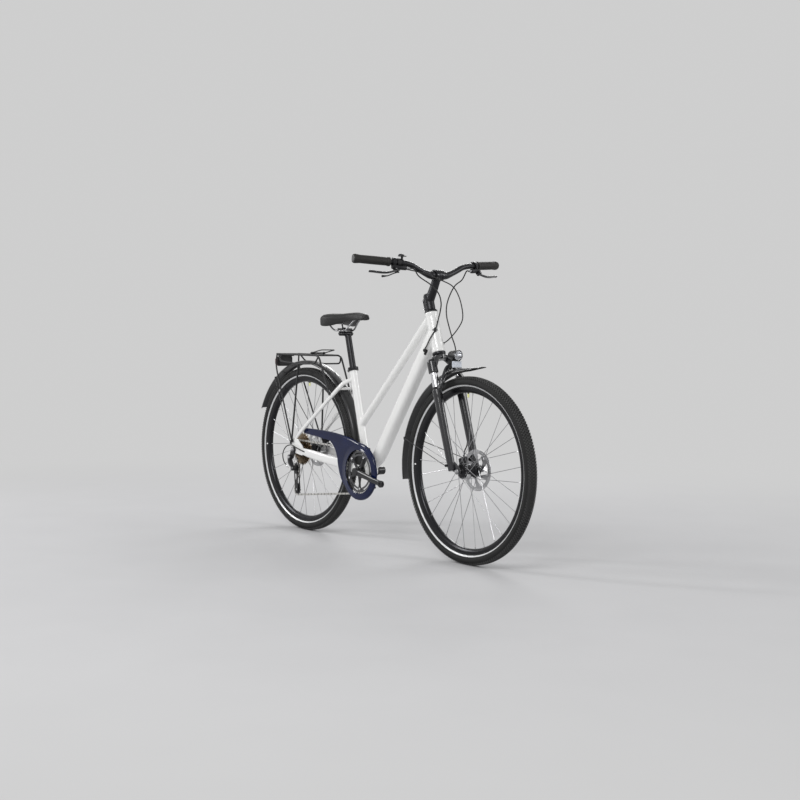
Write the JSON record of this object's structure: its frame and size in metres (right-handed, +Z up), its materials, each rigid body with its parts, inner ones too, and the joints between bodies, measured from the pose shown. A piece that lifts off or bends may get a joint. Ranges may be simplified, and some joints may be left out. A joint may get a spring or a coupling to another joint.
{
  "type": "trekking bicycle",
  "caption": "Trekking bicycle with a low straight top tube, suspension fork, disc brakes, hub-driven lamp bracket, mudguards, chain guard and rear rack.",
  "frame": {"origin": "on the ground, midway between the two axles, in the bike's middle plane", "axes": "+X forward, +Y to the rider's left, +Z up; the drive side is -Y"},
  "size_m": [1.803, 0.7242, 1.1737],
  "materials": {
    "white_paint": "glossy white paint",
    "black_paint": "glossy black paint",
    "black_anodised": "black anodised, satin",
    "black_plastic": "matte black",
    "black_rubber": "matte black",
    "tyre_rubber": "small block tread",
    "silver": "polished",
    "steel": "brushed",
    "sprocket_steel": "coated steel",
    "chain_steel": "oiled steel",
    "blue_smoke": "dark blue see-through plastic",
    "saddle_cover": "smooth cover",
    "red_lens": "red lens",
    "clear_lens": "clear lens"
  },
  "bodies": {
    "bike": {"frame": "white_paint", "upper_cup": "black_anodised", "lower_cup": "black_anodised", "seat_collar": "black_anodised", "bottom_bracket": "black_anodised", "rear_mudguard": "black_plastic", "rack": "black_paint", "rear_light": "red_lens", "chain_case": "blue_smoke", "rear_caliper": "black_anodised", "rear_derailleur": "black_anodised", "chain": "chain_steel", "rear_axle": "steel", "rear_brake_hose": "black_rubber", "shift_cable": "black_rubber"},
    "steerer": {"fork_crown": "black_anodised", "stem": "black_anodised", "stem_faceplate": "black_anodised", "stem_cap": "black_anodised", "handlebar": "black_anodised", "grip_right": "black_rubber", "grip_left": "black_rubber", "brake_body_right": "black_anodised", "brake_body_left": "black_anodised", "shifter_body": "black_plastic", "bell": "black_anodised", "front_brake_hose": "black_rubber"},
    "lowers": {"fork_lowers": "black_paint", "front_caliper": "black_anodised", "front_mudguard": "black_plastic", "front_axle": "steel"},
    "headlamp": {"headlamp_body": "black_plastic", "headlamp_lens": "clear_lens"},
    "front_wheel": {"front_tyre": "tyre_rubber", "front_rim": "black_anodised", "front_hub": "silver", "front_rotor": "steel"},
    "rear_wheel": {"rear_tyre": "tyre_rubber", "rear_rim": "black_anodised", "rear_hub": "silver", "rear_rotor": "steel"},
    "sprockets": {"cassette": "sprocket_steel"},
    "crankset": {"crank_right": "black_anodised", "chainring": "steel", "crank_left": "black_anodised"},
    "cage": {"derailleur_cage": "black_anodised"},
    "guide_wheel": {"guide_pulley": "black_plastic"},
    "tension_wheel": {"tension_pulley": "black_plastic"},
    "seat": {"seatpost": "black_anodised", "saddle_clamp": "black_anodised", "saddle_rails": "steel", "saddle": "saddle_cover"},
    "lever_right": {"brake_lever_right": "black_anodised"},
    "lever_left": {"brake_lever_left": "black_anodised"},
    "shift_lever": {"shift_thumb_lever": "black_plastic"},
    "striker": {"bell_striker": "black_plastic"},
    "lockout": {"lockout_knob": "black_plastic"},
    "clip": {"rack_clip": "black_paint"},
    "front_release": {"front_axle_lever": "silver"},
    "rear_release": {"rear_axle_lever": "silver"}
  },
  "joints": [
    {"name": "steering", "type": "hinge", "parent": "bike", "child": "steerer", "pos_m": [0.35337, 0, 0.7996], "axis": [-0.309, 0, 0.9511], "range_deg": [-55, 55], "deforming": ["rear_brake_hose", "shift_cable"]},
    {"name": "fork_travel", "type": "slide", "parent": "steerer", "child": "lowers", "axis": [-0.309, 0, 0.9511], "range_m": [0, 0.05], "stiffness_N_per_m": 9000, "springref_m": -0.012, "deforming": ["front_brake_hose"]},
    {"name": "headlamp_tilt", "type": "hinge", "parent": "lowers", "child": "headlamp", "pos_m": [0.44063, 0, 0.75435], "axis": [0, 1, 0], "range_deg": [-12, 12]},
    {"name": "front_wheel_spin", "type": "hinge", "parent": "lowers", "child": "front_wheel", "pos_m": [0.5445, 0, 0.357], "axis": [0, 1, 0], "continuous": true},
    {"name": "rear_wheel_spin", "type": "hinge", "parent": "bike", "child": "rear_wheel", "pos_m": [-0.5445, 0, 0.357], "axis": [0, 1, 0], "continuous": true},
    {"name": "crank_spin", "type": "hinge", "parent": "bike", "child": "crankset", "pos_m": [-0.09233, 0, 0.298], "axis": [0, 1, 0], "continuous": true},
    {"name": "cassette_spin", "type": "hinge", "parent": "bike", "child": "sprockets", "pos_m": [-0.5445, 0, 0.357], "axis": [0, 1, 0], "continuous": true},
    {"name": "cage_swing", "type": "hinge", "parent": "bike", "child": "cage", "pos_m": [-0.563, 0, 0.273], "axis": [0, 1, 0], "range_deg": [-15, 25], "stiffness_Nm_per_rad": 0.6, "deforming": ["chain"]},
    {"name": "guide_pulley_spin", "type": "hinge", "parent": "cage", "child": "guide_wheel", "pos_m": [-0.563, 0, 0.273], "axis": [0, 1, 0], "continuous": true},
    {"name": "tension_pulley_spin", "type": "hinge", "parent": "cage", "child": "tension_wheel", "pos_m": [-0.5525, 0, 0.1785], "axis": [0, 1, 0], "continuous": true},
    {"name": "seatpost_slide", "type": "slide", "parent": "bike", "child": "seat", "axis": [-0.2723, 0, 0.9622], "range_m": [-0.12, 0.08]},
    {"name": "brake_lever_right_pull", "type": "hinge", "parent": "steerer", "child": "lever_right", "pos_m": [0.3438, -0.2082, 1.11041], "axis": [-0.7561, 0.1843, -0.628], "range_deg": [0, 16], "stiffness_Nm_per_rad": 0.8, "springref_deg": -11.46},
    {"name": "brake_lever_left_pull", "type": "hinge", "parent": "steerer", "child": "lever_left", "pos_m": [0.3438, 0.2082, 1.11041], "axis": [0.7561, 0.1843, 0.628], "range_deg": [0, 16], "stiffness_Nm_per_rad": 0.8, "springref_deg": -11.46},
    {"name": "shift_lever_push", "type": "hinge", "parent": "steerer", "child": "shift_lever", "pos_m": [0.3195, -0.1836, 1.10554], "axis": [0, 0.0606, 0.9982], "range_deg": [0, 18], "stiffness_Nm_per_rad": 0.3, "springref_deg": -8.59},
    {"name": "bell_striker_pull", "type": "hinge", "parent": "steerer", "child": "striker", "pos_m": [0.34371, -0.1758, 1.16217], "axis": [0, -0.0606, -0.9982], "range_deg": [0, 25], "stiffness_Nm_per_rad": 0.02, "springref_deg": -11.46},
    {"name": "lockout_turn", "type": "hinge", "parent": "steerer", "child": "lockout", "pos_m": [0.38338, -0.06, 0.7655], "axis": [0.309, 0, -0.9511], "range_deg": [0, 90]},
    {"name": "rack_clip_lift", "type": "hinge", "parent": "bike", "child": "clip", "pos_m": [-0.4735, 0, 0.779], "axis": [0, -1, 0], "range_deg": [-8, 75], "stiffness_Nm_per_rad": 0.3},
    {"name": "front_release_swing", "type": "hinge", "parent": "lowers", "child": "front_release", "pos_m": [0.5445, 0.0768, 0.357], "axis": [-0.9511, 0, -0.309], "range_deg": [0, 180]},
    {"name": "rear_release_swing", "type": "hinge", "parent": "bike", "child": "rear_release", "pos_m": [-0.5445, 0.0906, 0.357], "axis": [-1, 0, 0], "range_deg": [0, 180]}
  ],
  "couplings": [
    {"joint": "cassette_spin", "follows": "crank_spin", "ratio": 2.2},
    {"joint": "tension_pulley_spin", "follows": "crank_spin", "ratio": 4},
    {"joint": "guide_pulley_spin", "follows": "crank_spin", "ratio": -4}
  ]
}
